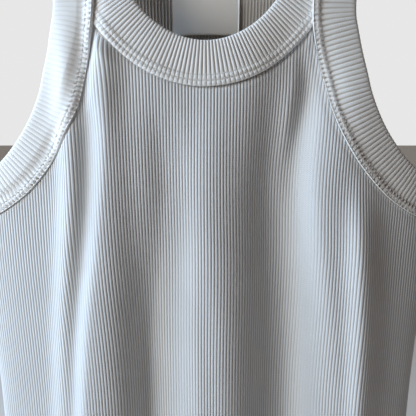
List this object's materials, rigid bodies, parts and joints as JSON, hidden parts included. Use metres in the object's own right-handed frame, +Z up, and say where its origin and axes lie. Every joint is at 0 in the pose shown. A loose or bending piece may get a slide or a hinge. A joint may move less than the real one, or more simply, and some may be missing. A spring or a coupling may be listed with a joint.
{
  "type": "tank top on a hanger",
  "caption": "Sleeveless rib-knit top with wide rib bands round its neck and armholes, hung by its straps on a plain bar hanger with a wire hook.",
  "frame": {"origin": "highest point inside the hook, where the rail carries it", "axes": "+Z up, +X to the viewer's right as the front is seen, front towards -Y"},
  "size_m": [0.3938, 0.0672, 0.7097],
  "materials": {
    "body_knit": "matte fine rib knit",
    "band_knit": "matte rib knit",
    "label_tape": "smooth woven tape, blank",
    "hanger_wood": "satin",
    "hook_wire": "bright"
  },
  "bodies": {
    "root": {"front_panel": "body_knit", "back_panel": "body_knit", "neckband": "band_knit", "armband_left": "band_knit", "armband_right": "band_knit", "label": "label_tape", "hanger_bar": "hanger_wood", "hanger_hook": "hook_wire"}
  },
  "joints": []
}
